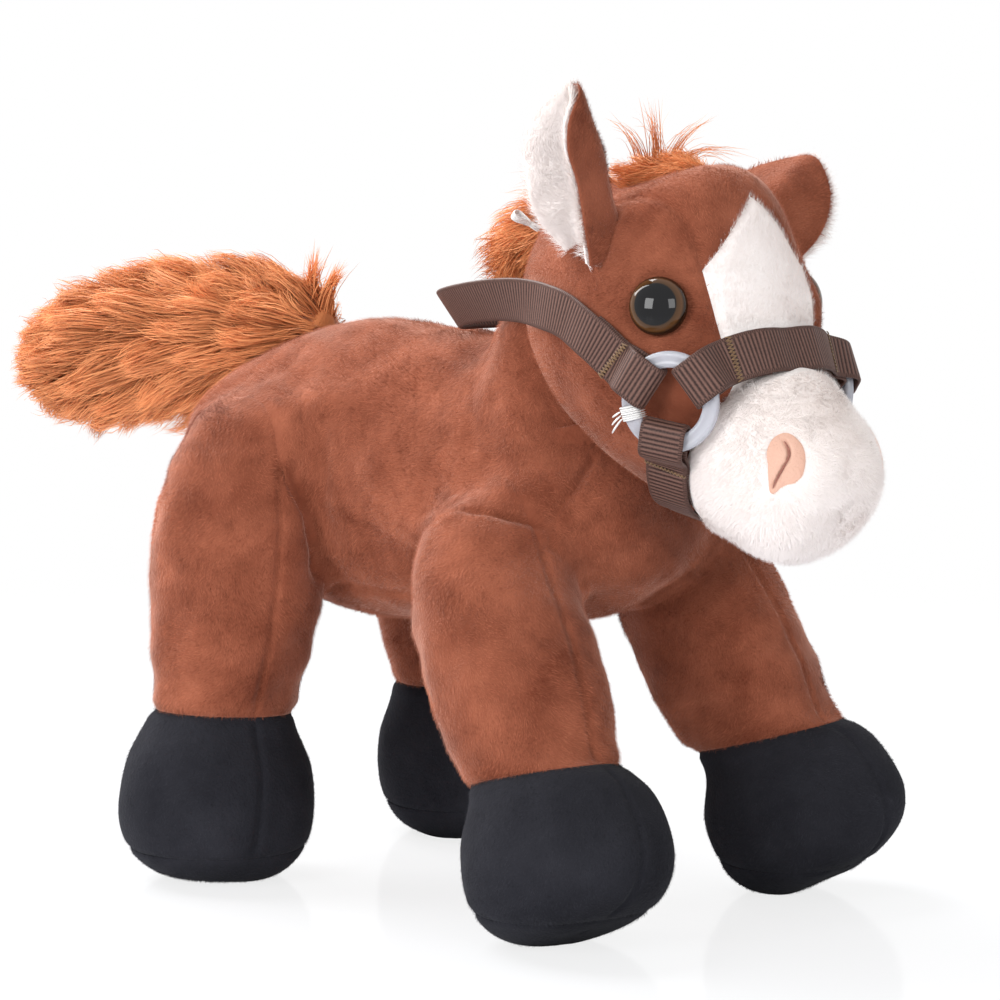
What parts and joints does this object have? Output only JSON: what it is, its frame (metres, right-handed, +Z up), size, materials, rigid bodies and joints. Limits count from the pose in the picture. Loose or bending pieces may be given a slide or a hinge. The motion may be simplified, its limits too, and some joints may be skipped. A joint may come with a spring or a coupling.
{
  "type": "plush horse",
  "caption": "Standing stuffed toy horse: sewn plush body, head, muzzle, ears, legs with hoof cups, long-pile mane and tail, safety eyes, and a ribbon halter with rings.",
  "frame": {"origin": "on the ground, below the middle of the object's box", "axes": "+Z up, -Y the way the horse faces, -X the horse's right side"},
  "size_m": [0.123, 0.2582, 0.1746],
  "materials": {
    "brown_plush": "short pile plush",
    "white_plush": "short pile plush",
    "black_plush": "short pile plush",
    "long_pile": "long pile plush",
    "peach_plush": "short pile plush",
    "fibre_filling": "loose polyester fibre",
    "brown_ribbon": "ribbed woven ribbon",
    "white_plastic": "satin",
    "white_thread": "thread and tape",
    "glossy_eye": "polished",
    "washer_plastic": "moulded"
  },
  "bodies": {
    "torso": {"belly_panel": "brown_plush", "torso_side_right": "brown_plush", "torso_side_left": "brown_plush", "torso_filling": "fibre_filling", "neck_skin": "brown_plush", "neck_filling": "fibre_filling"},
    "head": {"blaze_panel": "white_plush", "forehead_panel": "brown_plush", "cheek_panel_right": "brown_plush", "cheek_panel_left": "brown_plush", "head_filling": "fibre_filling", "muzzle_skin": "white_plush", "muzzle_filling": "fibre_filling", "nostril_patch_right": "peach_plush", "nostril_patch_left": "peach_plush", "eye_right": "glossy_eye", "eye_left": "glossy_eye", "eye_washer_right": "washer_plastic", "eye_washer_left": "washer_plastic", "mane": "long_pile", "forelock": "long_pile", "crown_strap": "brown_ribbon", "nose_band": "brown_ribbon", "chin_strap": "brown_ribbon", "halter_ring_right": "white_plastic", "halter_ring_left": "white_plastic", "ring_tie_right": "white_thread", "ring_tie_left": "white_thread", "tag_loop": "white_thread"},
    "ear_right": {"ear_outer_right": "brown_plush", "ear_lining_right": "white_plush"},
    "ear_left": {"ear_outer_left": "brown_plush", "ear_lining_left": "white_plush"},
    "tail": {"tail_skin": "long_pile", "tail_filling": "fibre_filling"},
    "front_leg_right": {"front_leg_skin_right": "brown_plush", "front_hoof_skin_right": "black_plush", "front_sole_right": "black_plush", "front_leg_filling_right": "fibre_filling"},
    "front_leg_left": {"front_leg_skin_left": "brown_plush", "front_hoof_skin_left": "black_plush", "front_sole_left": "black_plush", "front_leg_filling_left": "fibre_filling"},
    "hind_leg_right": {"hind_leg_skin_right": "brown_plush", "hind_hoof_skin_right": "black_plush", "hind_sole_right": "black_plush", "hind_leg_filling_right": "fibre_filling"},
    "hind_leg_left": {"hind_leg_skin_left": "brown_plush", "hind_hoof_skin_left": "black_plush", "hind_sole_left": "black_plush", "hind_leg_filling_left": "fibre_filling"}
  },
  "joints": [
    {"name": "head_turn", "type": "hinge", "parent": "torso", "child": "head", "pos_m": [0, -0.05938, 0.126], "axis": [0, 0, 1], "range_deg": [-8, 8], "stiffness_Nm_per_rad": 0.08},
    {"name": "ear_flex_right", "type": "hinge", "parent": "head", "child": "ear_right", "pos_m": [-0.015, -0.08038, 0.141], "axis": [0, -1, 0], "range_deg": [-15, 15], "stiffness_Nm_per_rad": 0.02},
    {"name": "ear_flex_left", "type": "hinge", "parent": "head", "child": "ear_left", "pos_m": [0.015, -0.08038, 0.141], "axis": [0, -1, 0], "range_deg": [-15, 15], "stiffness_Nm_per_rad": 0.02},
    {"name": "tail_swing", "type": "hinge", "parent": "torso", "child": "tail", "pos_m": [0, 0.03662, 0.12], "axis": [1, 0, 0], "range_deg": [-15, 15], "stiffness_Nm_per_rad": 0.2},
    {"name": "front_leg_flex_right", "type": "hinge", "parent": "torso", "child": "front_leg_right", "pos_m": [-0.0285, -0.05138, 0.08], "axis": [1, 0, 0], "range_deg": [-12, 12], "stiffness_Nm_per_rad": 0.6},
    {"name": "front_leg_flex_left", "type": "hinge", "parent": "torso", "child": "front_leg_left", "pos_m": [0.0285, -0.05138, 0.08], "axis": [1, 0, 0], "range_deg": [-12, 12], "stiffness_Nm_per_rad": 0.6},
    {"name": "hind_leg_flex_right", "type": "hinge", "parent": "torso", "child": "hind_leg_right", "pos_m": [-0.029, 0.02062, 0.08], "axis": [1, 0, 0], "range_deg": [-12, 12], "stiffness_Nm_per_rad": 0.6},
    {"name": "hind_leg_flex_left", "type": "hinge", "parent": "torso", "child": "hind_leg_left", "pos_m": [0.029, 0.02062, 0.08], "axis": [1, 0, 0], "range_deg": [-12, 12], "stiffness_Nm_per_rad": 0.6}
  ]
}
